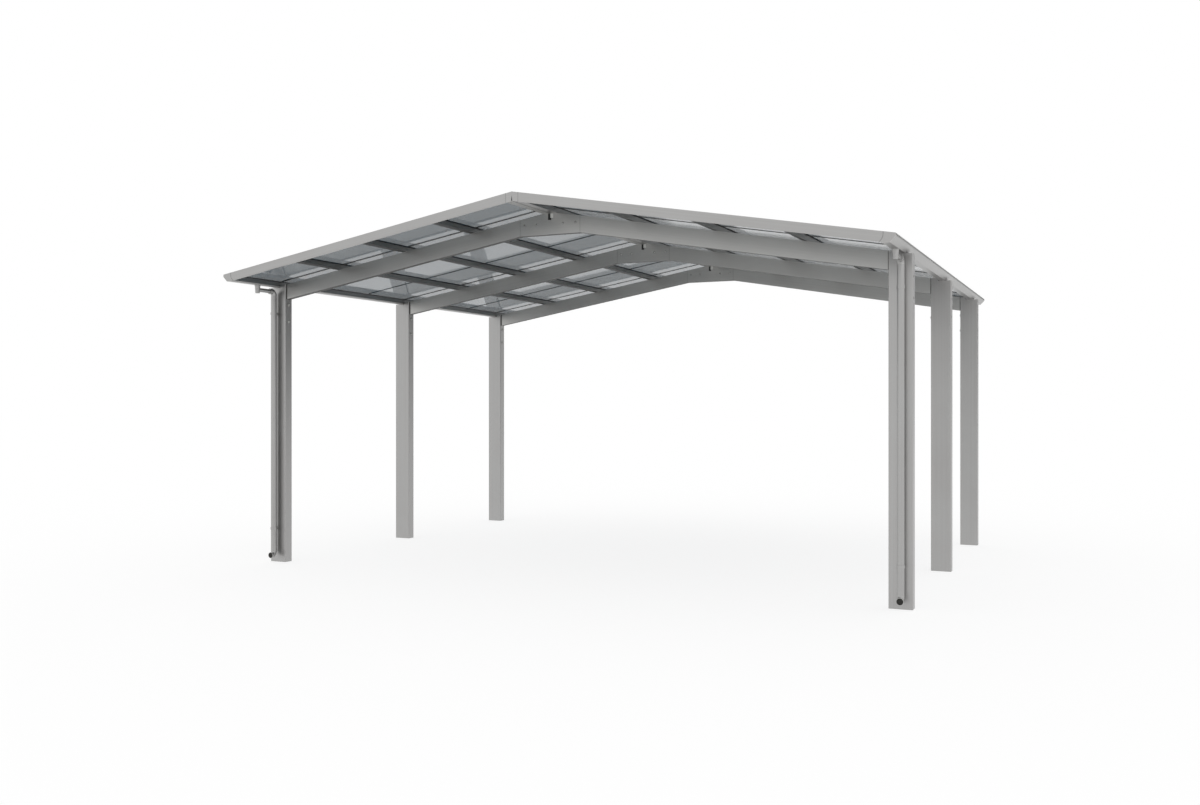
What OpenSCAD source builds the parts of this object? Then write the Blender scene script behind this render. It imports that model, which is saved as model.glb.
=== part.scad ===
// Open carport with a low double-pitched roof.
// Three aluminium frames of hollow posts and rafters carry a ridge beam and six
// purlins, clear roof sheets between them, a gutter along both eaves, verge trims
// over both gables and a downpipe on each front post.
//
// X runs across the carport, Y from the front gable to the rear one, Z up.
// The origin is on the ground, in the middle of the plan. Millimetres.

/* [Frame] */
// Width over the outer faces of the posts
frame_w = 5586; // [4400:1:7000]
// Distance between neighbouring frames, centre to centre
bay = 1895; // [1300:1:2600]
// Height of the gutter's outer lip, the lowest line of the roof's top
eave_h = 2492; // [2000:1:3200]
// Pitch of the roof, in degrees
pitch = 9.8; // [6:0.1:14]
// How far the roof reaches past the outer faces of the end posts
overhang = 590; // [300:1:900]

/* [Posts] */
// Size of a post across the carport
post_across = 164; // [120:1:220]
// Size of a post along the carport
post_deep = 88; // [66:1:130]
// Wall of a post
post_wall = 3; // [2:0.5:6]
// Outer corner radius of a post
post_corner = 6; // [3:0.5:12]

/* [Rafters] */
// Height of a rafter's section
rafter_deep = 130; // [90:1:180]
// Thickness of a rafter, along the carport
rafter_thick = 55; // [40:1:64]
// Wall of a rafter and of the apex piece
rafter_wall = 2.5; // [1.5:0.5:5]
// Half width of the apex piece that joins two rafters
apex_half = 265; // [160:1:400]
// Thickness of the shoe between a rafter's end and its post
shoe_t = 6; // [3:1:20]
// Length of the shoe's tongue inside the rafter
shoe_tongue = 90; // [40:1:200]

/* [Ridge and purlins] */
// Width of the ridge beam
ridge_w = 130; // [90:1:200]
// Width of a purlin
purlin_w = 40; // [30:1:60]
// Height of a purlin, from the rafter's top to the sheets
purlin_h = 42; // [30:1:60]
// Wall of a purlin and of the ridge beam
purlin_wall = 2; // [1.5:0.5:4]
// Distance from the ridge to the first purlin, measured level
purlin_first = 720; // [500:1:900]
// Distance from one purlin to the next, measured level
purlin_step = 665; // [450:1:800]

/* [Roof sheets] */
// Thickness of a roof sheet
sheet_t = 3; // [2:0.5:6]
// Depth of the sheets' underside below the verge trim's top
sheet_drop = 15; // [13:0.5:24]
// Width of the joint between two sheets of one strip
joiner_w = 20; // [12:1:40]
// How far the sheets reach over the gutter's inner wall
sheet_drip = 24; // [10:1:40]

/* [Verge trims] */
// Height of the verge trim's face
verge_face = 69; // [50:1:110]
// Depth of the verge trim's top flange
verge_flange = 40; // [25:1:60]
// Metal thickness of the verge trim and the ridge cap
verge_t = 2.5; // [1.5:0.5:4]
// Half width of the ridge cap
ridge_cap_half = 52; // [30:1:60]

/* [Gutters] */
// How far the gutter's outer face stands back from the posts' outer faces
gutter_inset = 8; // [2:1:30]
// Width of the gutter from its bottom inner corner to its outer face
gutter_w = 98; // [80:1:120]
// Height of the gutter's outer face
gutter_h = 59; // [50:1:100]
// Metal thickness of the gutter
gutter_t = 2.5; // [1.5:0.5:4]

/* [Rain pipes] */
// Outer diameter of the downpipe
pipe_d = 50; // [40:1:70]
// Outer diameter of the short pipe from the hopper to the downpipe
feed_d = 35; // [28:1:36]
// Wall of the pipes
pipe_wall = 2; // [1.5:0.5:4]
// Distance from the front post's face to the downpipe's axis
pipe_off = 43; // [40:1:90]
// Distance from the downpipe's axis forward to the hopper's middle
hopper_ahead = 206; // [150:1:240]
// Outer diameter of the hopper just under its rim, and at its foot
hopper_d = [47, 37]; // [30:1:60]
// Height of the hopper under the gutter
hopper_h = 70; // [60:1:120]
// Depth of the feed pipe's axis under the gutter
feed_drop = 40; // [36:1:70]
// Height of the outlet's axis above the ground
outlet_z = 66; // [40:1:150]
// Heights of the two pipe clips
clip_heights = [300, 2200]; // [100:10:2350]

/* [Hidden] */
$fn = 64;
eps = 0.01;
SIDES = ["left", "right"];
ROWS = ["front", "middle", "rear"];
ENDS = ["front", "rear"];
STRIPS = ["1", "2", "3", "4"];
PURLINS = ["1", "2", "3"];

metal = [0.65, 0.65, 0.63];
metal_dark = [0.27, 0.27, 0.26];
clear_grey = [0.42, 0.45, 0.47, 0.5];
black = [0.08, 0.08, 0.08];

// Clearance of what slides into a groove or a tube
slip = 0.5;
// Clearance of what is butted against its neighbour
butt = 0.3;
// How far a cutting shape reaches past what it cuts
cut = 1;

// Plan
half_w = frame_w / 2;
post_in = half_w - post_across;
post_x = half_w - post_across / 2;
half_len = bay + post_deep / 2 + overhang;
row_y = [-bay, 0, bay];

// Gutter outline, measured on the right-hand side
gutter_out = half_w - gutter_inset;
gutter_z = eave_h - gutter_h;
// How far its inner wall leans outwards, and its outer face inwards below the upright band
gutter_lean = 19;
gutter_slant = 39;
gutter_band = 18;
// Cut-off corner between its inner wall and its underside
gutter_ease = 10;
// Depth of the groove under the band, and thickness of the end plates
gutter_groove = 1.2;
end_cap_t = 3;
// Gap between the gutter's inner wall and what ends beside it
wall_gap = 3;

// Roof's top plane: the height of the verge trim's top edge
lip_x = gutter_out - 2;
ridge_z = eave_h + lip_x * tan(pitch);
function roof_z(x) = ridge_z - abs(x) * tan(pitch);
// Height at x of a plane that lies d under the roof's top, measured square to it
function under_roof(x, d) = roof_z(x) - d / cos(pitch);

// Depths under the roof's top, square to it
rafter_drop = sheet_drop + purlin_h;
// Cover over the sheets' edges, the web that carries it and the gap beside the web
cover_t = 3;
cover_drop = sheet_drop - sheet_t - slip - cover_t;
web_w = 6;
web_gap = 2;
// How far the sheets reach under the ridge beam's cover
groove_lap = 14;

ridge_half = ridge_w / 2;
ridge_base_z = under_roof(ridge_half, rafter_drop);
// Rib along the middle of the ridge beam's underside
rib_w = 4;
rib_h = 3;
purlin_x = [for (i = [0:2]) purlin_first + i * purlin_step];
rafter_end = post_in - shoe_t;
// How far the posts end below the rafters' top
post_short = 2;
post_top = under_roof(post_in, rafter_drop) - post_short;
rafter_base_z = under_roof(apex_half, rafter_drop + rafter_deep);
inner_top_x = gutter_out - gutter_w + gutter_lean;
inner_top_z = under_roof(inner_top_x, sheet_drop) - butt;
sheet_end_x = inner_top_x + sheet_drip;
gutter_wall_pts = [
    [inner_top_x, inner_top_z],
    [gutter_out - gutter_w, gutter_z + gutter_ease],
    [gutter_out - gutter_w + gutter_ease, gutter_z],
    [gutter_out - gutter_slant, gutter_z],
    [gutter_out, eave_h - gutter_band],
    [lip_x + 1, eave_h]
];

// Where the frame that a node's name gives stands
function row_of(r) = row_y[search([r], ROWS)[0]];

// Draws its children on the right-hand side, or mirrored on the left
module on_side(s) {
    if (s == "left") mirror([1, 0, 0]) children();
    else children();
}

// Draws its children at the front end, or mirrored at the rear
module at_end(e) {
    if (e == "rear") mirror([0, 1, 0]) children();
    else children();
}

// Stands an outline of X and Z up and makes it len thick, from y0 towards the rear
module wall_y(y0, len) {
    translate([0, y0 + len, 0]) rotate([90, 0, 0]) linear_extrude(len) children();
}

// Moves to the roof's top plane at x, with X down the slope and Z square to it
module on_slope(x) {
    translate([x, 0, roof_z(x)]) rotate([0, pitch, 0]) children();
}

// Outline between two depths under the roof, from x0 to x1, with upright ends
module roof_band(x0, x1, d0, d1) {
    polygon([
        [x0, under_roof(x0, d0)], [x1, under_roof(x1, d0)],
        [x1, under_roof(x1, d1)], [x0, under_roof(x0, d1)]
    ]);
}

// Points of an open outline moved t to its left
function unit(v) = v / norm(v);
function left_of(v) = [-v.y, v.x];
function shifted(p, i, t) =
    let (
        last = len(p) - 1,
        a = unit(p[max(i, 1)] - p[max(i, 1) - 1]),
        b = unit(p[min(i, last - 1) + 1] - p[min(i, last - 1)]),
        n = unit(left_of(a + b))
    )
    p[i] + n * t / (n * left_of(a));

// Folded metal strip, t thick, along an open outline
module strip(p, t) {
    last = len(p) - 1;
    polygon(concat(p, [for (i = [last:-1:0]) shifted(p, i, t)]));
}

module rounded_rect(w, d, r) {
    square([w - 2 * r, d], center = true);
    square([w, d - 2 * r], center = true);
    for (x = [-1, 1], y = [-1, 1])
        translate([x * (w / 2 - r), y * (d / 2 - r)]) circle(r);
}

// Post: a hollow tube, closed and stepped at the top, where the gutter sits in the step
module post_shape(inset, base) {
    step_x = gutter_out - gutter_w - butt - inset;
    top = post_top - inset;
    intersection() {
        translate([post_x, 0, base]) linear_extrude(top - base)
            rounded_rect(post_across - 2 * inset, post_deep - 2 * inset, post_corner - inset / 2);
        wall_y(-post_deep, 2 * post_deep) polygon([
            [post_in - cut, base], [half_w + cut, base], [half_w + cut, gutter_z - inset],
            [step_x, gutter_z - inset], [step_x, top], [post_in - cut, top]
        ]);
    }
}

module post(r, s) {
    color(metal) on_side(s) translate([0, row_of(r), 0]) difference() {
        post_shape(0, 0);
        post_shape(post_wall, -cut);
    }
}

// Rafter: a hollow tube under the purlins, cut upright at both ends
module rafter(r, s) {
    color(metal) on_side(s) difference() {
        wall_y(row_of(r) - rafter_thick / 2, rafter_thick)
            roof_band(apex_half, rafter_end, rafter_drop, rafter_drop + rafter_deep);
        wall_y(row_of(r) - rafter_thick / 2 + rafter_wall, rafter_thick - 2 * rafter_wall)
            roof_band(apex_half - cut, rafter_end + cut,
                rafter_drop + rafter_wall, rafter_drop + rafter_deep - rafter_wall);
    }
}

// Apex piece: a hollow sleeve with a level underside, open to both rafters
module apex_piece(r) {
    y0 = row_of(r) - rafter_thick / 2;
    seat = rib_h + rafter_wall;
    reach = apex_half + cut;
    color(metal) difference() {
        wall_y(y0, rafter_thick) polygon([
            [-apex_half, rafter_base_z], [apex_half, rafter_base_z],
            [apex_half, under_roof(apex_half, rafter_drop)], [ridge_half, ridge_base_z],
            [-ridge_half, ridge_base_z], [-apex_half, under_roof(apex_half, rafter_drop)]
        ]);
        wall_y(y0 + rafter_wall, rafter_thick - 2 * rafter_wall) polygon([
            [-reach, rafter_base_z + rafter_wall], [reach, rafter_base_z + rafter_wall],
            [reach, under_roof(reach, rafter_drop + rafter_wall)],
            [ridge_half, ridge_base_z - seat], [-ridge_half, ridge_base_z - seat],
            [-reach, under_roof(reach, rafter_drop + rafter_wall)]
        ]);
        translate([-rib_w / 2 - slip, y0 - cut, ridge_base_z - rib_h - slip])
            cube([rib_w + 2 * slip, rafter_thick + 2 * cut, rib_h + slip + cut]);
    }
}

// Shoes: an end plate against the post, with a tongue inside the rafter's end
module rafter_shoes() {
    fit = rafter_wall + slip;
    color(metal_dark) for (s = SIDES, y = row_y) on_side(s) union() {
        wall_y(y - rafter_thick / 2, rafter_thick)
            roof_band(rafter_end, post_in, rafter_drop, rafter_drop + rafter_deep);
        wall_y(y - rafter_thick / 2 + fit, rafter_thick - 2 * fit)
            roof_band(rafter_end - shoe_tongue, rafter_end + eps,
                rafter_drop + fit, rafter_drop + rafter_deep - fit);
    }
}

// An outline given by its right-hand half, from the bottom up, and mirrored
module mirrored_outline(half) {
    last = len(half) - 1;
    polygon(concat(half, [for (i = [last:-1:0]) if (half[i].x > 0) [-half[i].x, half[i].y]]));
}

// Ridge beam: a tube on the apex pieces, with a cover over the sheets' upper edges
module ridge_beam() {
    long = 2 * (half_len - verge_t);
    w = purlin_wall;
    cover_base = cover_drop + cover_t;
    web_x = ridge_half - groove_lap - web_gap;
    color(metal) wall_y(-long / 2, long) difference() {
        mirrored_outline([
            [rib_w / 2, ridge_base_z - rib_h], [rib_w / 2, ridge_base_z],
            [ridge_half, ridge_base_z],
            [ridge_half, under_roof(ridge_half, sheet_drop)], [web_x, under_roof(web_x, sheet_drop)],
            [web_x, under_roof(web_x, cover_base)],
            [ridge_half, under_roof(ridge_half, cover_base)],
            [ridge_half, under_roof(ridge_half, cover_drop)], [0, under_roof(0, cover_drop)]
        ]);
        mirrored_outline([
            [ridge_half - w, ridge_base_z + w],
            [ridge_half - w, under_roof(ridge_half - w, sheet_drop + w)],
            [web_x - w, under_roof(web_x - w, sheet_drop + w)],
            [web_x - w, under_roof(web_x - w, cover_base)],
            [0, under_roof(0, cover_base)]
        ]);
    }
}

// Small clips that hold the ridge beam on the apex pieces
module ridge_clips() {
    clip_w = 24;
    clip_t = 6;
    clip_h = 50;
    color(black) for (y = row_y)
        translate([-clip_w / 2, y - rafter_thick / 2 - clip_t, ridge_base_z - rib_h - clip_h])
            cube([clip_w, clip_t, clip_h]);
}

// Purlin: a hollow tube on the rafters, with a cover over the edges of two strips of sheets
module purlin(s, n) {
    long = 2 * (half_len - verge_t);
    w = purlin_wall;
    x = purlin_x[search([n], PURLINS)[0]];
    color(metal) on_side(s) on_slope(x) wall_y(-long / 2, long) difference() {
        mirrored_outline([
            [purlin_w / 2, -rafter_drop], [purlin_w / 2, -sheet_drop], [web_w / 2, -sheet_drop],
            [web_w / 2, -cover_drop - cover_t],
            [purlin_w / 2, -cover_drop - cover_t], [purlin_w / 2, -cover_drop]
        ]);
        translate([-purlin_w / 2 + w, -rafter_drop + w]) square([purlin_w - 2 * w, purlin_h - 2 * w]);
    }
}

// Distance down the slope to x on the plane d under the roof's top, and from it
// the distances between which strip i of the sheets lies
function slope_at(x, d = 0) = x / cos(pitch) + d * tan(pitch);
function strip_from(i) =
    i == 0 ? slope_at(ridge_half - groove_lap, sheet_drop) : slope_at(purlin_x[i - 1]) + web_w / 2 + web_gap;
function strip_to(i) =
    i == 3 ? slope_at(sheet_end_x, sheet_drop) : slope_at(purlin_x[i]) - web_w / 2 - web_gap;

// Gap between two sheets of a strip, over each frame, and the distances along the
// carport between which sheet k of a strip lies
joint_gap = 6;
sheet_front = half_len - verge_t - slip;
sheet_ends = [-sheet_front, -bay, 0, bay, sheet_front];
function sheet_y0(k) = sheet_ends[k] + (k == 0 ? 0 : joint_gap / 2);
function sheet_y1(k) = sheet_ends[k + 1] - (k == 3 ? 0 : joint_gap / 2);

// One strip of clear sheets: a short one at each overhang and one over each bay
module roof_sheets(s, n) {
    i = search([n], STRIPS)[0];
    color(clear_grey) on_side(s) on_slope(0)
        for (k = [0:3])
            translate([strip_from(i), sheet_y0(k), -sheet_drop])
                cube([strip_to(i) - strip_from(i), sheet_y1(k) - sheet_y0(k), sheet_t]);
}

// Joiners: an H-section over each frame that grips the ends of two sheets
module sheet_joiners() {
    leaf = 2;
    web = joint_gap - 2 * slip;
    color(metal_dark) for (s = SIDES, i = [0:3], y = row_y)
        on_side(s) on_slope(0) {
            u0 = (i == 0 ? slope_at(ridge_half, sheet_drop + leaf)
                : slope_at(purlin_x[i - 1]) + purlin_w / 2) + butt;
            u1 = (i == 3 ? slope_at(inner_top_x - wall_gap, sheet_drop + leaf)
                : slope_at(purlin_x[i]) - purlin_w / 2) - butt;
            translate([u0, y, -sheet_drop]) {
                translate([0, -joiner_w / 2, -leaf]) cube([u1 - u0, joiner_w, leaf]);
                translate([0, -web / 2, -leaf / 2]) cube([u1 - u0, web, sheet_t + slip + leaf]);
                translate([0, -joiner_w / 2, sheet_t + slip]) cube([u1 - u0, joiner_w, leaf]);
            }
        }
}

// Joint between the verge trim's lower end and the gutter's end cap: upright at the
// top, and curved inwards to the trim's lower corner, from the flange's underside on.
// Its points run downwards.
seam_x = inner_top_x - slip;
seam_r = 60;
seam_z = eave_h - verge_t;
seam_drop = seam_z - under_roof(seam_x - seam_r / 2, verge_face);
function seam_arc(r) = [
    for (i = [0:6]) let (a = asin(seam_drop / seam_r) * i / 6)
        [seam_x - seam_r + r * cos(a), seam_z - r * sin(a)]
];

// Verge trim: a folded channel over the gable ends of the sheets
module verge_trim(e, s) {
    shelf = 30;
    lip = 12;
    x0 = ridge_cap_half + butt;
    foot = seam_arc(seam_r)[6];
    color(metal) at_end(e) on_side(s) {
        wall_y(-half_len, verge_t) polygon(concat(
            [[x0, under_roof(x0, verge_face)], [x0, roof_z(x0)], [seam_x, roof_z(seam_x)]],
            seam_arc(seam_r)
        ));
        wall_y(-half_len, verge_flange) roof_band(x0, seam_x, 0, verge_t);
        wall_y(-half_len, lip)
            roof_band(x0, foot.x - verge_t, verge_face - verge_t, verge_face);
        difference() {
            wall_y(-half_len, shelf)
                roof_band(ridge_half + slip, inner_top_x - wall_gap, sheet_drop, sheet_drop + verge_t);
            for (x = purlin_x) on_slope(x)
                translate([-purlin_w / 2 - slip, -half_len + verge_t, -rafter_drop])
                    cube([purlin_w + 2 * slip, shelf, purlin_h + cut]);
        }
    }
}

// Ridge cap: the bent plate that joins two verge trims over the ridge, with a drain
// notch between the two halves of its lower lip
module ridge_caps() {
    lip = 12;
    lip_from = 14;
    notch_w = 12;
    notch_h = 44;
    h = ridge_cap_half;
    base_z = under_roof(0, verge_face);
    color(metal) for (e = ENDS) at_end(e) difference() {
        for (m = [0, 1]) mirror([m, 0, 0]) {
            wall_y(-half_len, verge_t) roof_band(0, h, 0, verge_face);
            wall_y(-half_len, verge_flange) roof_band(0, h, 0, verge_t);
            wall_y(-half_len, lip) roof_band(lip_from, h, verge_face - verge_t, verge_face);
        }
        wall_y(-half_len - cut, lip + 2 * cut)
            polygon([[-notch_w / 2, base_z - lip], [notch_w / 2, base_z - lip], [0, base_z + notch_h]]);
    }
}

// Gutter: a folded channel on the posts, with a groove along its outer face
module gutter(s) {
    long = 2 * (half_len - end_cap_t);
    color(metal) on_side(s) difference() {
        wall_y(-long / 2, long) difference() {
            strip(gutter_wall_pts, gutter_t);
            translate([gutter_out - gutter_groove, eave_h - gutter_band])
                square([gutter_groove + cut, gutter_groove * 2]);
        }
        translate([pipe_x, hopper_y, gutter_z - cut]) cylinder(d = drain_d, h = gutter_t + 2 * cut);
    }
}

// Plates that close both ends of both gutters
module gutter_end_caps() {
    top = [[lip_x + 1, eave_h], [inner_top_x, roof_z(inner_top_x)]];
    color(metal) for (e = ENDS, s = SIDES)
        at_end(e) on_side(s)
            wall_y(-half_len, end_cap_t)
                polygon(concat([for (i = [2:4]) gutter_wall_pts[i]], top, seam_arc(seam_r + slip)));
}

// Downpipe's axis, and the middle of the hopper in line with it under the gutter
pipe_x = gutter_out - gutter_w + 34;
pipe_y = -(bay + post_deep / 2 + pipe_off);
hopper_y = pipe_y - hopper_ahead;
// Hopper's wall, its rim and the hole above it in the gutter
hopper_wall = 2;
rim_d = 50;
rim_h = 6;
drain_d = 36;
// Height of the feed pipe's axis, and how far its end lies behind the hopper's axis
feed_z = gutter_z - feed_drop;
feed_end = 12;
// Radii of the pipe's two bends, and the lengths of its socket and its mouth
upper_bend = 36;
lower_bend = 36;
pipe_socket = 16;
pipe_mouth = 6;

// Rain hoppers: round funnels under the gutters, with the feed pipe in the rear
module rain_hoppers() {
    shrink = 2 * hopper_wall;
    color(metal) for (s = SIDES) on_side(s)
        translate([pipe_x, hopper_y, gutter_z - hopper_h]) difference() {
            union() {
                cylinder(d1 = hopper_d[1], d2 = hopper_d[0], h = hopper_h - rim_h + eps);
                translate([0, 0, hopper_h - rim_h]) cylinder(d = rim_d, h = rim_h);
            }
            translate([0, 0, hopper_wall]) cylinder(
                d1 = hopper_d[1] - shrink, d2 = hopper_d[0] - shrink, h = hopper_h - hopper_wall + eps);
            translate([0, 0, hopper_h - feed_drop]) rotate([-90, 0, 0])
                cylinder(d = feed_d + 2 * butt, h = rim_d);
        }
}

// A piece of pipe along Z, and a quarter bend in the plane of Y and Z
module pipe(d, h) {
    linear_extrude(h) difference() {
        circle(d = d);
        circle(d = d - 2 * pipe_wall);
    }
}

module bend(r, d, from) {
    translate([0, -r, 0]) rotate([90, 0, 90]) rotate([0, 0, from])
        rotate_extrude(angle = 90) translate([r, 0]) difference() {
            circle(d = d);
            circle(d = d - 2 * pipe_wall);
        }
}

// Downpipe: feed pipe from the hopper, socket and upper bend, upright pipe and outlet bend
module downpipe(s) {
    upper_z = feed_z - upper_bend;
    lower_z = outlet_z + lower_bend;
    feed_from = upper_bend + pipe_socket;
    color(metal) on_side(s) translate([pipe_x, pipe_y, 0]) {
        translate([0, 0, lower_z]) pipe(pipe_d, upper_z - lower_z);
        translate([0, 0, upper_z]) bend(upper_bend, pipe_d, 0);
        translate([0, 0, lower_z]) bend(lower_bend, pipe_d, -90);
        translate([0, -upper_bend, feed_z]) rotate([90, 0, 0]) pipe(pipe_d, pipe_socket);
        translate([0, -feed_from, feed_z]) rotate([90, 0, 0]) difference() {
            cylinder(d = pipe_d, h = pipe_wall);
            translate([0, 0, -cut]) cylinder(d = feed_d - 2 * pipe_wall, h = pipe_wall + 2 * cut);
        }
        translate([0, -feed_from - pipe_wall, feed_z]) rotate([90, 0, 0])
            pipe(feed_d, hopper_ahead - feed_from - pipe_wall - feed_end);
        translate([0, -lower_bend, outlet_z]) rotate([90, 0, 0]) pipe(pipe_d, pipe_mouth);
    }
}

// Clips: a ring round the downpipe on a block that stands on the post's face
module pipe_clips() {
    ring_t = 3;
    ring_h = 22;
    block_w = 22;
    ring_in = pipe_d / 2 + butt;
    color(metal) for (s = SIDES, z = clip_heights) on_side(s)
        translate([pipe_x, pipe_y, z - ring_h / 2]) difference() {
            union() {
                cylinder(r = ring_in + ring_t, h = ring_h);
                translate([-block_w / 2, 0, 0]) cube([block_w, pipe_off, ring_h]);
            }
            translate([0, 0, -cut]) cylinder(r = ring_in, h = ring_h + 2 * cut);
        }
}

for (r = ROWS, s = SIDES) {
    post(r, s);
    rafter(r, s);
}
for (r = ROWS)
    apex_piece(r);
for (s = SIDES, n = PURLINS)
    purlin(s, n);
for (s = SIDES, n = STRIPS)
    roof_sheets(s, n);
for (e = ENDS, s = SIDES)
    verge_trim(e, s);
for (s = SIDES) {
    gutter(s);
    downpipe(s);
}
rafter_shoes();
ridge_beam();
ridge_clips();
ridge_caps();
sheet_joiners();
gutter_end_caps();
rain_hoppers();
pipe_clips();
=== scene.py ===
"""Looks of an open aluminium carport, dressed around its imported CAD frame.

X runs across the carport, Y from the front gable to the rear one, Z up, in metres.
Sizes in the classes are in millimetres, but the studio's floor, card and places are in metres.
"""

import logging
import math
from dataclasses import dataclass, field
from enum import Enum
from typing import Any

import bmesh
import bpy
from bpy.types import ID, Material, Mesh, Node, NodeSocket, NodeTree, Object, World
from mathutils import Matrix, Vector


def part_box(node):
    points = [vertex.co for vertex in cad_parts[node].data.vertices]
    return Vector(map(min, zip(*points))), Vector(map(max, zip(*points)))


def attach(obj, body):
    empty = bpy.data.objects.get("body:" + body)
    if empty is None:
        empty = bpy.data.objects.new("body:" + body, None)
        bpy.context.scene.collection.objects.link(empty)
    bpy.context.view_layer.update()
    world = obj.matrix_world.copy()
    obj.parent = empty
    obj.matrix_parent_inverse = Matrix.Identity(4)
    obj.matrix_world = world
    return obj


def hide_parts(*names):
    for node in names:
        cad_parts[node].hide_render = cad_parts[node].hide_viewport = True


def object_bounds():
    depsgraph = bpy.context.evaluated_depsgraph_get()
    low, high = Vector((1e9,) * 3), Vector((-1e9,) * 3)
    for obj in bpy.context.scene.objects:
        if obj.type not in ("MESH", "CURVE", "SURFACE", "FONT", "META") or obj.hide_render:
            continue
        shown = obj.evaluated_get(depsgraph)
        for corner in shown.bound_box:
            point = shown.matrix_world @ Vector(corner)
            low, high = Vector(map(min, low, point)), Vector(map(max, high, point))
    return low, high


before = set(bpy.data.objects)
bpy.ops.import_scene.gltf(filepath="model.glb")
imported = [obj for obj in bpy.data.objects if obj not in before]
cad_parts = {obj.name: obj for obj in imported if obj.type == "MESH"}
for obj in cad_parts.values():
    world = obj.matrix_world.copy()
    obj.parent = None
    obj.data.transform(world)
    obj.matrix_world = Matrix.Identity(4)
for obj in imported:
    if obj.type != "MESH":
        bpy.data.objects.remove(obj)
CAD_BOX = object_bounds()

log = logging.getLogger("carport")
ROOT = "root"
MM = 0.001
ROWS = ("front", "middle", "rear")
SIDES = ((-1, "left"), (1, "right"))
ENDS = (-1, 1)
PURLINS = (1, 2, 3)
UP = Vector((0, 0, 1))
BACK = Vector((0, 1, 0))
WHITE = (1, 1, 1, 1)
# How deep a strip's underside lies in its face, in millimetres
SUNK = 0.3
# Faces that meet at less than this angle, in degrees, are shaded as one round face
ROUND_BELOW = 35

# Both ends of a line, or the place of a head and the way that it faces
Pair = tuple[Vector, Vector]


# ---------------------------------------------------------------- helpers

def linear(hex_code: str) -> tuple[float, float, float, float]:
    """Turns an sRGB colour into a linear one."""
    channels = [int(hex_code[i:i + 2], 16) / 255 for i in (0, 2, 4)]
    decoded = [c / 12.92 if c <= 0.04045 else ((c + 0.055) / 1.055) ** 2.4 for c in channels]
    return (decoded[0], decoded[1], decoded[2], 1.0)


def add_node(tree: NodeTree, kind: str, inputs: dict[Any, Any] | None = None,
             **settings: Any) -> Node:
    """Adds a node with its settings, its values and its links."""
    node = tree.nodes.new(kind)
    for name, value in settings.items():
        setattr(node, name, value)
    for key, value in (inputs or {}).items():
        if isinstance(value, NodeSocket):
            tree.links.new(value, node.inputs[key])
        else:
            node.inputs[key].default_value = value
    return node


def new_material(name: str, **sockets: Any) -> tuple[Material, Node]:
    """Makes a material and sets values on its shader's own sockets."""
    material = bpy.data.materials.new(name)
    material.use_nodes = True
    shader = material.node_tree.nodes["Principled BSDF"]
    for socket, value in sockets.items():
        shader.inputs[socket.replace("_", " ")].default_value = value
    return material, shader


def feed(shader: Node, **sockets: NodeSocket) -> None:
    """Links sockets into a shader's own sockets, by their names with _ for a space."""
    for name, socket in sockets.items():
        shader.id_data.links.new(socket, shader.inputs[name.replace("_", " ")])


def noise(tree: NodeTree, mark: tuple[float, float, float], detail: float,
          turn: float = 0.0, rough: float = 0.5) -> NodeSocket:
    """Adds noise in object coordinates, in which one mark of it has a real size.

    Args:
        tree: the material's tree.
        mark: the mark's size along its own X, Y and Z, in millimetres.
        detail: how many finer layers each mark has.
        turn: angle of the mark about Y, in radians.
        rough: how much the finer layers count.
    """
    place = add_node(tree, "ShaderNodeTexCoord").outputs["Object"]
    sized = add_node(tree, "ShaderNodeMapping",
                     {"Vector": place, "Rotation": (0, turn, 0), "Scale": tuple(s * MM for s in mark)},
                     vector_type="TEXTURE").outputs["Vector"]
    return add_node(tree, "ShaderNodeTexNoise", {"Vector": sized, "Scale": 1.0, "Detail": detail,
                                                 "Roughness": rough}).outputs["Fac"]


def two_tones(tree: NodeTree, value: NodeSocket, stops: tuple[float, float],
              colours: tuple[str, str]) -> NodeSocket:
    """Blends two sRGB colours while a value goes from one stop to the other."""
    ramp = add_node(tree, "ShaderNodeValToRGB", {"Fac": value})
    for element, stop, colour in zip(ramp.color_ramp.elements, stops, colours):
        element.position = stop
        element.color = linear(colour)
    return ramp.outputs["Color"]


def spread(tree: NodeTree, value: NodeSocket, source: tuple[float, float],
           target: tuple[float, float] = (0.0, 1.0), **settings: Any) -> NodeSocket:
    """Stretches a value's range onto another one, stops at its ends, and returns the socket."""
    return add_node(tree, "ShaderNodeMapRange",
                    {"Value": value, "From Min": source[0], "From Max": source[1],
                     "To Min": target[0], "To Max": target[1]}, **settings).outputs["Result"]


def sum_of(tree: NodeTree, operation: str, *values: Any) -> NodeSocket:
    """Adds a sum such as "MULTIPLY" over values or sockets, and returns its result's socket."""
    return add_node(tree, "ShaderNodeMath", dict(enumerate(values)), operation=operation).outputs[0]


def bump_map(tree: NodeTree, height: NodeSocket, strength: float, rise: float) -> NodeSocket:
    """Adds relief that is rise millimetres high, and returns its normal's socket."""
    return add_node(tree, "ShaderNodeBump",
                    {"Height": height, "Strength": strength, "Distance": rise * MM}).outputs["Normal"]


def emptied(owner: Material | World) -> NodeTree:
    """Gives a new material or world an empty tree, and returns it."""
    owner.use_nodes = True
    owner.node_tree.nodes.clear()
    return owner.node_tree


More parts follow.
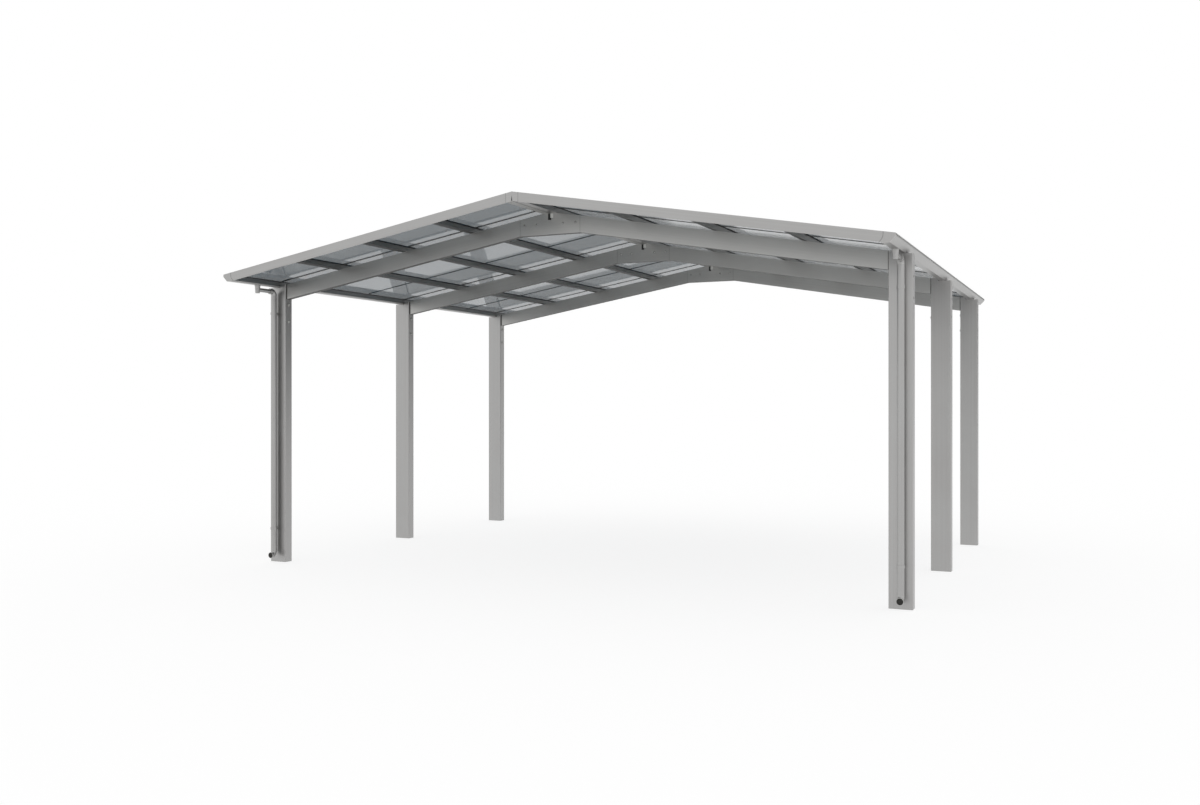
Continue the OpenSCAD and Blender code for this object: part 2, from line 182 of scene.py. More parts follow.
@dataclass
class Shells:
    """Closed shells that are gathered into one mesh."""

    corners: list[Vector] = field(default_factory=list)
    faces: list[tuple[int, ...]] = field(default_factory=list)

    def loft(self, rings: list[list[Vector]]) -> None:
        """Skins a row of rings and closes both ends."""
        start, count = len(self.corners), len(rings[0])
        for ring in rings:
            self.corners.extend(ring)
        for first in range(start, start + count * (len(rings) - 1), count):
            for i in range(count):
                j = (i + 1) % count
                self.faces.append((first + i, first + j, first + count + j, first + count + i))
        self.faces.append(tuple(range(start, start + count)))
        self.faces.append(tuple(range(start + count * (len(rings) - 1), start + count * len(rings))))

    def strip(self, path: list[Vector], out: Vector, width: float, proud: float) -> None:
        """Lays a flat strip along a path on a face.

        Args:
            path: points along the strip's middle.
            out: the direction that the face looks in.
            width: the strip's width, in millimetres.
            proud: how far it stands out of the face, in millimetres.
        """
        rings = []
        for i, point in enumerate(path):
            along = path[min(i + 1, len(path) - 1)] - path[max(i - 1, 0)]
            side = along.cross(out).normalized() * width / 2 * MM
            top, low = out * proud * MM, -out * SUNK * MM
            rings.append([point - side + low, point + side + low, point + side + top, point - side + top])
        self.loft(rings)

    def bead(self, path: list[Vector], radius: float, sides: int = 10) -> None:
        """Lays a round bead along a path in a plane that Y is square to."""
        rings = []
        for i, point in enumerate(path):
            along = (path[min(i + 1, len(path) - 1)] - path[max(i - 1, 0)]).normalized()
            side = along.cross(BACK)
            rings.append([point + (side * math.cos(a) + BACK * math.sin(a)) * radius * MM
                          for a in (math.tau * k / sides for k in range(sides))])
        self.loft(rings)

    def turned(self, foot: Vector, axis: Vector, rings: list[tuple[float, float]], sides: int) -> None:
        """Turns an outline round an axis.

        Args:
            foot: where the axis starts.
            axis: the axis's direction.
            rings: radius and height of each ring above the foot, in millimetres.
            sides: how many sides it has.
        """
        across = axis.orthogonal().normalized()
        beside = axis.cross(across)
        self.loft([[foot + axis * h * MM + (across * math.cos(a) + beside * math.sin(a)) * r * MM
                    for a in (math.tau * k / sides for k in range(sides))] for r, h in rings])

    def mesh(self, name: str, smooth: bool = False) -> Mesh:
        """Makes one mesh of the gathered shells, with its faces pointing outwards."""
        mesh = bpy.data.meshes.new(name)
        mesh.from_pydata([tuple(c) for c in self.corners], [], self.faces)
        work = bmesh.new()
        work.from_mesh(mesh)
        bmesh.ops.recalc_face_normals(work, faces=work.faces)
        work.to_mesh(mesh)
        work.free()
        if smooth:
            mesh.shade_smooth()
            mesh.set_sharp_from_angle(angle=math.radians(ROUND_BELOW))
        return mesh


class Slot(Enum):
    """Names of material slots."""

    METAL = "frame_metal"
    DARK = "dark_fitting"
    CLIP = "black_clip"


def put(name: str, data: ID) -> Object:
    """Makes an object at the origin from a mesh or a camera, and puts it in the scene."""
    thing = bpy.data.objects.new(name, data)
    bpy.context.scene.collection.objects.link(thing)
    return thing


def keep(piece: Object, stands_for: str | None = None) -> None:
    """Hands a finished piece to the frame."""
    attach(piece, ROOT)
    if stands_for:
        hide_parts(stands_for)
    log.info("%s: %d faces", piece.name, len(piece.data.polygons))


def add_piece(name: str, shells: Shells, finish: Material,
              smooth: bool = False, stands_for: str | None = None) -> None:
    """Makes a piece of the carport from shells."""
    mesh = shells.mesh(name, smooth)
    mesh.materials.append(finish)
    keep(put(name, mesh), stands_for)


# ---------------------------------------------------------------- finishes

class Grain(Enum):
    """The way a section was drawn through its die, with its extrusion lines along it."""

    UP = "up"
    ALONG = "along"
    ACROSS = "across"
    LEFT_SLOPE = "left_slope"
    RIGHT_SLOPE = "right_slope"


@dataclass(frozen=True)
class AnodisedAluminium:
    """Natural anodised aluminium, extruded: a satin grey that shows soft reflections.

    Its die lines are finer than a render shows, so they are drawn 9 mm wide and very faint.
    The underside shade darkens faces which look down: painted shade. It also makes them rougher.
    """

    name: str = "anodised_aluminium"
    pale: str = "b3b3b2"
    deep: str = "abaaa9"
    roughness: tuple[float, float] = (0.34, 0.42)
    line: float = 9.0
    line_length: float = 2600.0
    cloud: float = 420.0
    cloud_share: float = 0.45
    stops: tuple[float, float] = (0.36, 0.64)
    relief: float = 0.12
    rise: float = 0.2
    # How much faces which look down are darkened, as painted shade, and made rougher
    underside_shade: float = 0.0
    underside_shade_from: tuple[float, float] = (-0.9, -0.98)
    underside_shade_dulls: float = 0.4

    def build(self, grain: Grain, pitch: float) -> Material:
        """Makes the material for sections that were drawn in one direction."""
        material, shader = new_material(f"{self.name}_{grain.value}", Metallic=1.0)
        tree = material.node_tree
        turn = {Grain.LEFT_SLOPE: -pitch, Grain.RIGHT_SLOPE: pitch}.get(grain, 0.0)
        thin, long = self.line, self.line_length
        marks = {Grain.UP: (thin, thin, long), Grain.ALONG: (thin, long, thin)}
        lines = noise(tree, marks.get(grain, (long, thin, thin)), detail=2.0, turn=turn)
        clouds = noise(tree, (self.cloud,) * 3, detail=3.0)
        both = add_node(tree, "ShaderNodeMix", {0: self.cloud_share, 2: lines, 3: clouds},
                        data_type="FLOAT").outputs[0]
        tone = two_tones(tree, both, self.stops, (self.deep, self.pale))
        sheen = spread(tree, both, self.stops, self.roughness)
        facing = add_node(tree, "ShaderNodeSeparateXYZ",
                          {0: add_node(tree, "ShaderNodeNewGeometry").outputs["True Normal"]})
        # Painted shade: faces which look down are darkened, by up to the underside shade
        underside_shade = spread(tree, facing.outputs["Z"], self.underside_shade_from, (0.0, self.underside_shade))
        unshaded_share = sum_of(tree, "SUBTRACT", 1.0, underside_shade)
        shaded_tone = add_node(tree, "ShaderNodeVectorMath", {0: tone, "Scale": unshaded_share},
                         operation="SCALE").outputs[0]
        dulled = sum_of(tree, "MULTIPLY_ADD", underside_shade, self.underside_shade_dulls, sheen)
        feed(shader, Base_Color=shaded_tone, Roughness=dulled, Normal=bump_map(tree, lines, self.relief, self.rise))
        return material


@dataclass(frozen=True)
class Grained:
    """A matt or satin finish with a fine grain, moulded, cast or rolled."""

    name: str
    colour: str
    worn: str
    roughness: float
    grain: float
    metallic: float = 0.0
    relief: float = 0.3
    rise: float = 0.3
    stops: tuple[float, float] = (0.4, 0.66)

    def build(self) -> Material:
        """Makes the material: two close tones in a fine grain that also stands up as relief."""
        material, shader = new_material(self.name, Metallic=self.metallic, Roughness=self.roughness)
        tree = material.node_tree
        grain = noise(tree, (self.grain,) * 3, detail=3.0)
        feed(shader, Base_Color=two_tones(tree, grain, self.stops, (self.colour, self.worn)),
             Normal=bump_map(tree, grain, self.relief, self.rise))
        return material


@dataclass(frozen=True)
class ClearAcrylic:
    """Cast acrylic in a smoky blue-grey: clear and glossy, with a slow wave and a film of dust.

    The wave bends what it mirrors. The dust lies in patches and makes the sheet a little denser.
    """

    name: str = "smoky_acrylic"
    colour: str = "325667"
    dusty: str = "375a6a"
    alpha: tuple[float, float] = (0.645, 0.665)
    wave: float = 700.0
    relief: float = 0.1
    rise: float = 1.5
    dust: float = 260.0
    stops: tuple[float, float] = (0.35, 0.7)

    def build(self) -> Material:
        """Makes the material."""
        material, shader = new_material(self.name, Roughness=0.06, IOR=1.49)
        tree = material.node_tree
        wave = noise(tree, (self.wave,) * 3, detail=1.0)
        dust = noise(tree, (self.dust,) * 3, detail=5.0, rough=0.6)
        feed(shader, Base_Color=two_tones(tree, dust, self.stops, (self.colour, self.dusty)),
             Alpha=spread(tree, dust, self.stops, self.alpha),
             Normal=bump_map(tree, wave, self.relief, self.rise))
        return material


@dataclass
class Palette:
    """Every finish of the carport."""

    pitch: float

    def __post_init__(self) -> None:
        """Makes the materials."""
        self.metal = {grain: AnodisedAluminium().build(grain, self.pitch) for grain in Grain}
        # The rafters and the apex pieces are drawn a shade lighter than the posts and the trims: painted
        # light. Their faces which look down are darkened: painted shade.
        lightened = AnodisedAluminium(name="lightened_aluminium", pale="bebebc", deep="b7b7b5", underside_shade=0.7)
        self.roof_metal = {grain: lightened.build(grain, self.pitch)
                           for grain in (Grain.LEFT_SLOPE, Grain.RIGHT_SLOPE, Grain.ACROSS)}
        # The purlins are drawn a shade deeper than the rafters: painted shade under the sheets. Their faces
        # which look down are darkened further: painted shade.
        self.roof_metal[Grain.ALONG] = AnodisedAluminium(
            name="painted_shade_purlin_aluminium", pale="a6a6a5", deep="9f9f9e", underside_shade=0.7).build(Grain.ALONG, self.pitch)
        # Natural aluminium on the rounded rims and collars, lighter than the faces around it: a painted
        # highlight on their real rounded edges
        self.edge = Grained("painted_highlight_aluminium_edge", "bdbdba", "c8c8c5", roughness=0.3, grain=12.0,
                            metallic=1.0, relief=0.1).build()
        # Stainless steel, turned: brighter and smoother than the anodised sections
        self.steel = Grained("stainless_steel", "c4c4c0", "cfcfcc", roughness=0.25, grain=2.0,
                             metallic=1.0, relief=0.1).build()
        # Steel dipped in zinc flakes and baked: a dull silver that stays pale in the shade
        self.zinc = Grained("zinc_flake_coating", "d2d2ce", "e0e0dc", roughness=0.5, grain=2.0,
                            metallic=0.3, relief=0.2).build()
        # Aluminium casting with a dark stove-enamelled coat: satin, with a soft orange peel
        self.cast = Grained("dark_enamelled_casting", "3a3a36", "45453f", roughness=0.5, grain=3.0,
                            relief=0.4).build()
        # EPDM rubber, extruded: dead black with a dusty bloom
        self.rubber = Grained("epdm_seal", "161616", "222221", roughness=0.7, grain=8.0,
                              relief=0.3).build()
        # ABS, injection moulded: black with a fine leathery grain
        self.moulded = Grained("moulded_abs", "121212", "1c1c1c", roughness=0.42, grain=1.2,
                               relief=0.5).build()
        # The depth of an open joint or of a pipe's mouth, where no light comes back
        self.gap = Grained("joint_shadow", "33332f", "3b3b38", roughness=0.8, grain=6.0,
                           relief=0.2).build()
        # Nylon, injection moulded and left white: waxy, with a faint grain. Its white paints the bright patch
        # beside each ridge clip: a painted highlight
        self.highlight_nylon = Grained("white_nylon_painted_highlight", "ecece8", "f6f6f3", roughness=0.45, grain=1.5,
                             relief=0.2).build()
        self.acrylic = ClearAcrylic().build()


# ---------------------------------------------------------------- geometry nodes

def start_tree(name: str, inputs: dict[str, str]) -> tuple[NodeTree, Node]:
    """Starts a Geometry Nodes tree."""
    tree = bpy.data.node_groups.new(name, "GeometryNodeTree")
    tree.interface.new_socket("Geometry", in_out="INPUT", socket_type="NodeSocketGeometry")
    for label, kind in inputs.items():
        tree.interface.new_socket(label, in_out="INPUT", socket_type=kind)
    tree.interface.new_socket("Geometry", in_out="OUTPUT", socket_type="NodeSocketGeometry")
    return tree, tree.nodes.new("NodeGroupInput")


def end_tree(tree: NodeTree, shape: NodeSocket, finish: NodeSocket) -> None:
    """Ends a tree in real meshes with their material."""
    real = add_node(tree, "GeometryNodeRealizeInstances", {"Geometry": shape})
    dressed = add_node(tree, "GeometryNodeSetMaterial", {"Geometry": real.outputs[0], "Material": finish})
    add_node(tree, "NodeGroupOutput", {"Geometry": dressed.outputs[0]})


def fastener_tree() -> NodeTree:
    """Makes the tree that stands a head on each point, turned to the point's own facing."""
    tree, given = start_tree("fasteners", {"Head": "NodeSocketObject", "Finish": "NodeSocketMaterial"})
    points = add_node(tree, "GeometryNodeMeshToPoints", {"Mesh": given.outputs["Geometry"]})
    head = add_node(tree, "GeometryNodeObjectInfo", {"Object": given.outputs["Head"]})
    facing = add_node(tree, "GeometryNodeInputNamedAttribute", {"Name": "facing"}, data_type="FLOAT_VECTOR")
    turn = add_node(tree, "FunctionNodeAlignRotationToVector",
                    {"Vector": facing.outputs["Attribute"]}, axis="Z")
    stood = add_node(tree, "GeometryNodeInstanceOnPoints",
                     {"Points": points.outputs[0], "Instance": head.outputs["Geometry"],
                      "Rotation": turn.outputs[0]})
    end_tree(tree, stood.outputs[0], given.outputs["Finish"])
    return tree


def seal_tree() -> NodeTree:
    """Makes the tree that draws a round rubber lip along every edge of a mesh."""
    tree, given = start_tree("seals", {"Radius": "NodeSocketFloat", "Sides": "NodeSocketInt",
                                       "Finish": "NodeSocketMaterial"})
    lines = add_node(tree, "GeometryNodeMeshToCurve", {"Mesh": given.outputs["Geometry"]})
    round_lip = add_node(tree, "GeometryNodeCurvePrimitiveCircle",
                         {"Resolution": given.outputs["Sides"], "Radius": given.outputs["Radius"]})
    lips = add_node(tree, "GeometryNodeCurveToMesh",
                    {"Curve": lines.outputs[0], "Profile Curve": round_lip.outputs[0], "Fill Caps": True})
    end_tree(tree, lips.outputs[0], given.outputs["Finish"])
    return tree


def grow(name: str, seed: Mesh, tree: NodeTree, slot: Slot, **values: Any) -> None:
    """Runs a tree on a mesh and keeps the result as a plain piece."""
    piece = put(name, seed)
    modifier = piece.modifiers.new("nodes", "NODES")
    modifier.node_group = tree
    for item in tree.interface.items_tree:
        if item.in_out == "INPUT" and item.name in values:
            modifier[item.identifier] = values[item.name]
    result = bpy.data.meshes.new_from_object(piece.evaluated_get(bpy.context.evaluated_depsgraph_get()))
    piece.modifiers.remove(modifier)
    result.name = name
    piece.data = result
    keep(piece)


# ---------------------------------------------------------------- the roof's planes

@dataclass(frozen=True)
class Roof:
    """The roof's top planes and the depths of what lies under them."""

    ridge_z: float = CAD_BOX[1].z
    lip_back: float = 2.0
    sheet_drop: float = 15.0
    cover_drop: float = 8.5
    purlin_half: float = 20.0
    ridge_half: float = 65.0

    @property
    def fall(self) -> float:
        """Height that the roof loses over one metre."""
        gutter_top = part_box("gutter_right")[1]
        return (self.ridge_z - gutter_top.z) / (gutter_top.x - self.lip_back * MM)

    @property
    def pitch(self) -> float:
        """Angle of the roof, in radians."""
        return math.atan(self.fall)

    def purlin_x(self, number: int) -> float:
        """Distance of a purlin's middle from the ridge."""
        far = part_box(f"purlin_right_{number}")[1].x
        return far - (self.purlin_half * math.cos(self.pitch) - self.cover_drop * math.sin(self.pitch)) * MM

    def at(self, side: int, x: float, y: float, down: float = 0.0, depth: float = 0.0) -> Vector:
        """Gives a point under the roof's top plane.

        Args:
            side: -1 for the left slope, 1 for the right one.
            x: distance from the ridge, in metres.
            y: place along the carport, in metres.
            down: how far the point lies down the slope from there, in millimetres.
            depth: how far it lies under the top, square to it, in millimetres.
        """
        cos, sin = math.cos(self.pitch), math.sin(self.pitch)
        return Vector((side * (x + (down * cos - depth * sin) * MM), y,
                       self.ridge_z - x * self.fall - (down * sin + depth * cos) * MM))

    def out(self, side: int) -> Vector:
        """The way that a slope's top faces."""
        return Vector((side * math.sin(self.pitch), 0, math.cos(self.pitch)))

    def under(self, x: float, depth: float) -> float:
        """Height at x of a plane that lies depth millimetres under the roof's top."""
        return self.ridge_z - abs(x) * self.fall - depth * MM / math.cos(self.pitch)


# ---------------------------------------------------------------- sub-assemblies

@dataclass
class FrameFinish:
    """The finish of every CAD node that is shown as it is."""

    palette: Palette
    under_the_roof: tuple[str, ...] = ("rafter_front", "rafter_middle", "rafter_rear", "apex_piece_",
                                       "purlin_")

    def build(self) -> None:
        """Gives each node its material."""
        metal = self.palette.metal
        # The rafter shoes take the dark coat, and draw the dark line where each rafter end meets its post
        others = {"rafter_shoes": self.palette.cast, "sheet_joiners": self.palette.cast}
        grains = {"rafter_": None, "verge_trim_": None, "purlin_": Grain.ALONG, "ridge_beam": Grain.ALONG,
                  "gutter_left": Grain.ALONG, "gutter_right": Grain.ALONG, "ridge_caps": Grain.ACROSS,
                  "apex_piece_": Grain.ACROSS}
        for name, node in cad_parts.items():
            grain = next((g for start, g in grains.items() if name.startswith(start)), Grain.UP)
            if grain is None:
                grain = Grain.LEFT_SLOPE if name.endswith("left") else Grain.RIGHT_SLOPE
            finish = others.get(name, metal[grain])
            # Pieces under the roof take the roof's copies of the metal: painted light on the rafters and apex
            # pieces, painted shade on the purlins and on faces which look down
            if name.startswith(self.under_the_roof):
                finish = self.palette.roof_metal[grain]
            if name.startswith("roof_sheets_"):
                finish = self.palette.acrylic
            node.data.materials.clear()
            node.data.materials.append(finish)


@dataclass(frozen=True)
class Head:
    """A fastener's head, as rings of radius, height and whether the ring has six flats."""

    name: str
    rings: tuple[tuple[float, float, bool], ...]
    sides: int = 12

    def build(self) -> Object:
        """Makes one head."""
        shells = Shells()
        loops = []
        for radius, height, hexagon in self.rings:
            loop = []
            for k in range(self.sides):
                turn = math.tau * k / self.sides
                off = turn % (math.tau / 6) - math.tau / 12
                reach = radius / math.cos(off) if hexagon else radius
                loop.append(Vector((math.cos(turn), math.sin(turn), 0)) * reach * MM + UP * height * MM)
            loops.append(loop)
        shells.loft(loops)
        return bpy.data.objects.new(self.name, shells.mesh(self.name))


PAN_HEAD = Head("pan_head", ((5.5, 0, False), (5.5, 1.0, False), (4.6, 2.1, False), (2.9, 2.6, False),
                             (2.0, 2.6, True), (1.8, 1.2, True)))
HEX_BOLT = Head("hex_bolt", ((12.0, 0, False), (12.0, 2.0, False), (8.7, 2.4, True), (8.7, 7.6, True),
                             (7.6, 8.4, False)), 24)
# A thin dark rubber washer under each screw head, which also paints the shade round the head
SHADOW_RING = Head("shadow_ring", ((8.0, 0, False), (8.0, 0.3, False)), 16)
FLUSH_CAP = Head("flush_cap", ((9.0, 0, False), (8.6, 0.25, False), (5.2, 0.25, True), (5.0, 0.1, True)), 24)


@dataclass
class Fasteners:
    """Screws and bolts that hold the frame together."""

    palette: Palette
    roof: Roof
    apex_screws: tuple[float, ...] = (-225.0, -115.0, 115.0, 225.0)
    apex_rise: float = 83.0
    bolt_heights: tuple[float, ...] = (2130.0, 2280.0)
    under_rafter: tuple[float, ...] = (250.0, 350.0)
    rafter_deep: float = 130.0
    rafter_drop: float = 57.0
    verge_screw_in: float = 24.0
    clip_screw_back: float = 10.0
    block_half: float = 11.0
    ring_h: float = 22.0

    def build(self) -> None:
        """Stands a head of the right kind at every place."""
        tree = fastener_tree()
        pans = self.in_apex_pieces() + self.under_rafters() + self.in_verge_trims() + self.in_pipe_clips()
        for name, head, places, finish in (
                ("pan_head_screws", PAN_HEAD, pans, self.palette.steel),
                # Dark washers under the screws: rubber, and painted shade round each head
                ("screw_washers", SHADOW_RING, pans, self.palette.rubber),
                ("post_bolts", HEX_BOLT, self.in_posts(-1), self.palette.zinc),
                ("post_bolt_caps", FLUSH_CAP, self.in_posts(1), self.palette.gap)):
            seed = bpy.data.meshes.new(f"{name}_places")
            seed.from_pydata([tuple(place) for place, _ in places], [], [])
            facing = seed.attributes.new("facing", "FLOAT_VECTOR", "POINT")
            for i, (_, direction) in enumerate(places):
                facing.data[i].vector = direction
            template = head.build()
            grow(name, seed, tree, Slot.METAL, Head=template, Finish=finish)
            bpy.data.objects.remove(template)

    def in_apex_pieces(self) -> list[Pair]:
        """Finds the four screws through each face of the apex pieces."""
        places = []
        for row in ROWS:
            low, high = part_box(f"apex_piece_{row}")
            z = low.z + self.apex_rise * MM
            for x in self.apex_screws:
                places.append((Vector((x * MM, low.y, z)), -BACK))
                places.append((Vector((x * MM, high.y, z)), BACK))
        return places

    def under_rafters(self) -> list[Pair]:
        """Finds the screws through the rafters' undersides into the shoes' straps."""
        places = []
        for row in ROWS:
            for side, word in SIDES:
                post_in = min(abs(c.x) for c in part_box(f"post_{row}_{word}"))
                y = sum(c.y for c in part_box(f"rafter_{row}_{word}")) / 2
                for back in self.under_rafter:
                    x = post_in - back * MM
                    z = self.roof.under(x, self.rafter_drop + self.rafter_deep)
                    places.append((Vector((side * x, y, z)), -self.roof.out(side)))
        return places

    def in_posts(self, way: int) -> list[Pair]:
        """Finds the bolts through the posts under the rafters."""
        places = []
        for row in ROWS:
            for side, word in SIDES:
                reach = (min if way < 0 else max)(abs(c.x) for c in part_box(f"post_{row}_{word}"))
                y = sum(c.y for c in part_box(f"post_{row}_{word}")) / 2
                for z in self.bolt_heights:
                    places.append((Vector((side * reach, y, z * MM)), Vector((side * way, 0, 0))))
        return places

    def in_verge_trims(self) -> list[Pair]:
        """Finds the screws down through the verge trims' flanges into the purlins."""
        y = CAD_BOX[1].y - self.verge_screw_in * MM
        return [(self.roof.at(side, self.roof.purlin_x(n), end * y), self.roof.out(side))
                for side, _ in SIDES for end in ENDS for n in PURLINS]

    def in_pipe_clips(self) -> list[Pair]:
        """Finds the screw in each side of the clips' blocks."""
        low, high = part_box("pipe_clips")
        pipe_x = sum(c.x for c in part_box("downpipe_right")) / 2
        y = high.y - self.clip_screw_back * MM
        middle = self.ring_h / 2 * MM
        return [(Vector((side * pipe_x + way * self.block_half * MM, y, z)), Vector((way, 0, 0)))
                for side, _ in SIDES for z in (low.z + middle, high.z - middle) for way in (-1, 1)]


@dataclass
class Seals:
    """Rubber lips under and over the edges of the sheets."""

    palette: Palette
    roof: Roof
    radius: float = 2.4
    sides: int = 8
    squeezed: float = 0.7
    cross_sunk: float = 0.4
    over_sheet: float = 2.6
    under_sheet: float = 0.3
    shelf: float = 30.0
    gutter_lean: float = 19.0
    gutter_lap: float = 10.0
    verge_gap: float = 3.0
    cross_joints: tuple[float, ...] = (-640.0, 1255.0)

    @property
    def reach(self) -> float:
        """How far the lips along the carport run from its middle."""
        return CAD_BOX[1].y - (self.shelf + self.verge_gap) * MM

    @property
    def above(self) -> float:
        """Depth of the lips over the sheets."""
        return self.roof.cover_drop + self.over_sheet

    def build(self) -> None:
        """Draws the lips of both slopes."""
        tree = seal_tree()
        for side, word in SIDES:
            lines = (self.along_purlins(side) + self.along_gutter(side) + self.along_verges(side)
                     + self.across_sheets(side))
            seed = bpy.data.meshes.new(f"seal_lines_{word}")
            seed.from_pydata([tuple(p) for line in lines for p in line],
                             [(i, i + 1) for i in range(0, 2 * len(lines), 2)], [])
            grow(f"sheet_seals_{word}", seed, tree, Slot.CLIP,
                 Radius=self.radius * MM, Sides=self.sides, Finish=self.palette.rubber)

    def along_purlins(self, side: int) -> list[Pair]:
        """Finds the lips along both edges of the purlins, and along the ridge beam."""
        beside = self.radius * self.squeezed
        edges = [(self.roof.purlin_x(n), way * (self.roof.purlin_half + beside))
                 for n in PURLINS for way in (-1, 1)]
        edges.append((self.roof.ridge_half * MM, beside))
        below = self.roof.sheet_drop + self.radius
        return [(self.roof.at(side, x, -self.reach, down, depth),
                 self.roof.at(side, x, self.reach, down, depth))
                for x, down in edges for depth in (below, self.above)]

    def along_gutter(self, side: int) -> list[Pair]:
        """Finds the lip on the gutter's inner wall, which the sheets lie on."""
        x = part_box("gutter_right")[0].x + (self.gutter_lean - self.radius) * MM
        z = self.roof.under(x, self.roof.sheet_drop + self.radius + self.under_sheet)
        return [(Vector((side * x, -self.reach, z)), Vector((side * x, self.reach, z)))]

    def spans(self) -> list[tuple[float, float]]:
        """Finds how far from the ridge each strip of sheets starts and stops."""
        gap = (self.roof.purlin_half + 2 * self.radius) * MM
        purlins = [self.roof.purlin_x(n) for n in PURLINS]
        starts = [(self.roof.ridge_half + 2 * self.radius) * MM] + [x + gap for x in purlins]
        stops = [x - gap for x in purlins] + [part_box("gutter_right")[0].x + self.gutter_lap * MM]
        return list(zip(starts, stops))

    def down_strips(self, side: int, y: float, *depths: float) -> list[Pair]:
        """Finds the lips that run down a slope at y metres, at each depth under its top."""
        return [(self.roof.at(side, a, y, 0, depth), self.roof.at(side, b, y, 0, depth))
                for a, b in self.spans() for depth in depths]

    def along_verges(self, side: int) -> list[Pair]:
        """Finds the lips along the verge trims' shelves, from purlin to purlin."""
        y = CAD_BOX[1].y - (self.shelf + self.radius) * MM
        return [line for end in ENDS
                for line in self.down_strips(side, end * y, self.roof.sheet_drop + self.radius)]

    def across_sheets(self, side: int) -> list[Pair]:
        """Finds the lips under and over the thin joint that crosses the sheets of each bay."""
        below = self.roof.sheet_drop + self.radius * self.cross_sunk
        return [line for y in self.cross_joints
                for line in self.down_strips(side, y * MM, below, self.above)]


@dataclass
class GutterTrim:
    """Grooves along the gutters' outer faces, and the rounded rims of their end plates."""

    palette: Palette
    band: float = 18.0
    slant: float = 39.0
    ease: float = 10.0
    groove: float = 2.6
    groove_in: float = 0.5
    groove_proud: float = 0.1
    rim: float = 3.0
    plate: float = 3.0

    def build(self) -> None:
        """Makes the grooves and the rims."""
        low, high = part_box("gutter_right")
        outline = self.rim_points(low, high)
        grooves, rims = Shells(), Shells()
        for side, _ in SIDES:
            x = side * (high.x - self.groove_in * MM)
            z = high.z - self.band / 2 * MM
            grooves.strip([Vector((x, low.y, z)), Vector((x, high.y, z))], Vector((side, 0, 0)),
                          self.groove, self.groove_proud)
            for end in ENDS:
                y = end * (CAD_BOX[1].y - self.plate * MM)
                rims.bead([Vector((side * x, y, z)) for x, z in outline], self.rim)
        add_piece("gutter_grooves", grooves, self.palette.gap)
        # The rims are drawn lighter than the end plates: a painted highlight along their rounded edge
        add_piece("end_cap_rims", rims, self.palette.edge, smooth=True)

    def rim_points(self, low: Vector, high: Vector) -> list[tuple[float, float]]:
        """Draws an end plate's rim, as X and Z from the gutter's lip to its cut-off corner."""
        inset = self.rim / 2 * MM
        return [(high.x - MM - inset, high.z - inset), (high.x - inset, high.z - self.band * MM),
                (high.x - self.slant * MM, low.z + inset), (low.x + self.ease * MM, low.z + inset)]


@dataclass
class Joints:
    """The dark lines of open joints between neighbouring pieces."""

    palette: Palette
    roof: Roof
    width: float = 1.5
    foot_width: float = 2.0
    proud: float = 0.15
    cap_half: float = 52.0
    verge_face: float = 69.0
    verge_flange: float = 40.0
    verge_t: float = 2.5
    seam_r: float = 60.0
    seam_in: float = 0.5
    seam_steps: int = 10
    gutter_lean: float = 19.0

    def build(self) -> None:
        """Draws every joint line."""
        lines = Shells()
        for side, _ in SIDES:
            for end in ENDS:
                self.ridge_cap_side(lines, side, end)
                self.verge_foot(lines, side, end)
        self.apex_seams(lines)
        add_piece("joint_lines", lines, self.palette.gap)

    def ridge_cap_side(self, lines: Shells, side: int, end: int) -> None:
        """Draws the joint between a verge trim and the ridge cap, up its face and over its flange."""
        x, y = self.cap_half * MM, end * CAD_BOX[1].y
        face = [Vector((side * x, y, self.roof.under(x, d))) for d in (self.verge_face, 0)]
        lines.strip(face, BACK * end, self.width, self.proud)
        top = [self.roof.at(side, x, y - end * reach * MM) for reach in (0, self.verge_flange)]
        lines.strip(top, self.roof.out(side), self.width, self.proud)

    def verge_foot(self, lines: Shells, side: int, end: int) -> None:
        """Draws the curved joint between a verge trim's lower end and the gutter's end plate."""
        low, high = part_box("gutter_right")
        y = end * CAD_BOX[1].y
        seam_x = low.x + (self.gutter_lean - self.seam_in) * MM
        seam_z = high.z - self.verge_t * MM
        radius = self.seam_r * MM
        drop = seam_z - self.roof.under(seam_x - radius / 2, self.verge_face)
        path = [Vector((side * seam_x, y, self.roof.under(seam_x, 0)))]
        for i in range(self.seam_steps + 1):
            turn = math.asin(drop / radius) * i / self.seam_steps
            path.append(Vector((side * (seam_x - radius + radius * math.cos(turn)), y,
                                seam_z - radius * math.sin(turn))))
        lines.strip(path, BACK * end, self.foot_width, self.proud)

    def apex_seams(self, lines: Shells) -> None:
        """Draws the upright joints between the apex pieces and the rafters, on both faces."""
        for row in ROWS:
            low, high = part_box(f"apex_piece_{row}")
            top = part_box(f"rafter_{row}_right")[1].z
            for x in (low.x, high.x):
                for y, out in ((low.y, -BACK), (high.y, BACK)):
                    lines.strip([Vector((x, y, low.z)), Vector((x, y, top))], out, self.width, self.proud)


